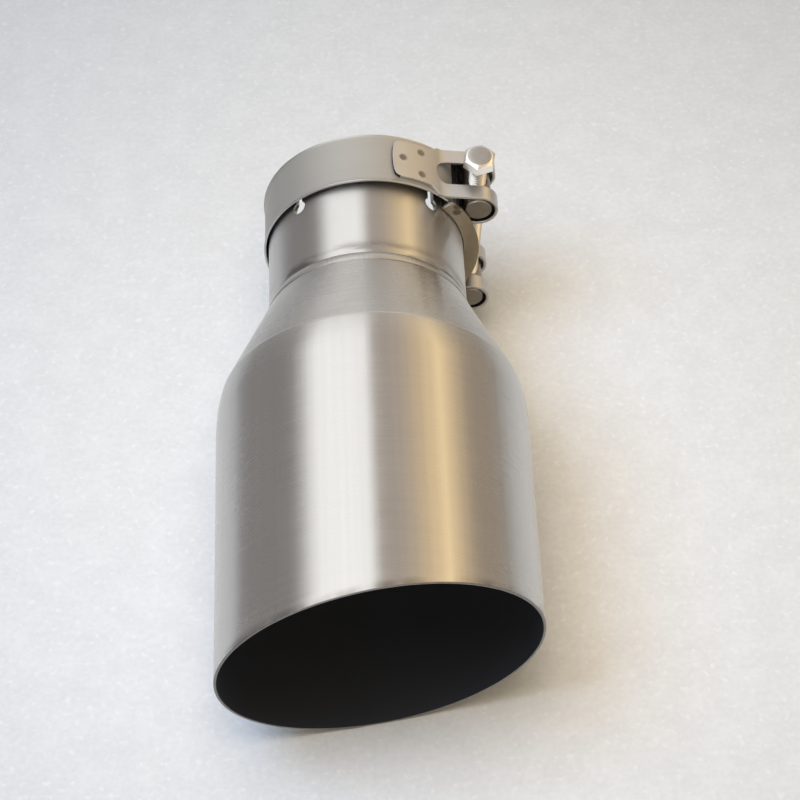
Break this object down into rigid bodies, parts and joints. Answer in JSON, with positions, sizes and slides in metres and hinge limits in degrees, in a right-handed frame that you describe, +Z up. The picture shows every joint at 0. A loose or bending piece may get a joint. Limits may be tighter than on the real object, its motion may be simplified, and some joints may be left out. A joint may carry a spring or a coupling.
{
  "type": "exhaust tip",
  "caption": "Clamp-on exhaust tip: a wide slant-cut steel outlet on a slotted inlet sleeve, closed on a tailpipe by a bolted band clamp.",
  "frame": {"origin": "centre of the inlet mouth, on the tube axis", "axes": "+Y along the tube axis out of the inlet, -Y out of the outlet, +Z up with the part lying on its side, the clamp bolt at +X"},
  "size_m": [0.101, 0.1915, 0.101],
  "materials": {
    "shell_steel": "polished outside with soft streaks, matt black inside",
    "sleeve_steel": "satin",
    "band_steel": "rolled satin strip",
    "bracket_steel": "bright strip",
    "trunnion_steel": "turned",
    "bolt_steel": "bright"
  },
  "bodies": {
    "tip": {"outer_shell": "shell_steel", "inlet_sleeve": "sleeve_steel", "clamp_band": "band_steel", "clamp_bridge": "band_steel", "head_bracket": "bracket_steel"},
    "head_pin": {"head_trunnion": "trunnion_steel"},
    "nut_end": {"nut_bracket": "bracket_steel"},
    "nut_pin": {"nut_trunnion": "trunnion_steel"},
    "bolt": {"clamp_bolt": "bolt_steel"}
  },
  "joints": [
    {"name": "clamp_close", "type": "hinge", "parent": "tip", "child": "nut_end", "pos_m": [0.00135, -0.0113, 0], "axis": [0, -1, 0], "range_deg": [-2, 10], "stiffness_Nm_per_rad": 0.87, "springref_deg": 0.73},
    {"name": "head_pivot", "type": "hinge", "parent": "tip", "child": "head_pin", "pos_m": [0.03807, -0.0113, 0.019], "axis": [0, -1, 0], "range_deg": [-1.2, 5.8]},
    {"name": "nut_pivot", "type": "hinge", "parent": "nut_end", "child": "nut_pin", "pos_m": [0.03642, -0.0113, -0.0281], "axis": [0, -1, 0], "range_deg": [-4.4, 0.9]},
    {"name": "bolt_turn", "type": "hinge", "parent": "nut_pin", "child": "bolt", "pos_m": [0.03724, -0.0113, -0.00455], "axis": [0.0349, 0, 0.9994], "continuous": true}
  ],
  "couplings": [
    {"joint": "head_pivot", "follows": "clamp_close", "ratio": 0.57},
    {"joint": "nut_pivot", "follows": "clamp_close", "ratio": -0.43}
  ]
}
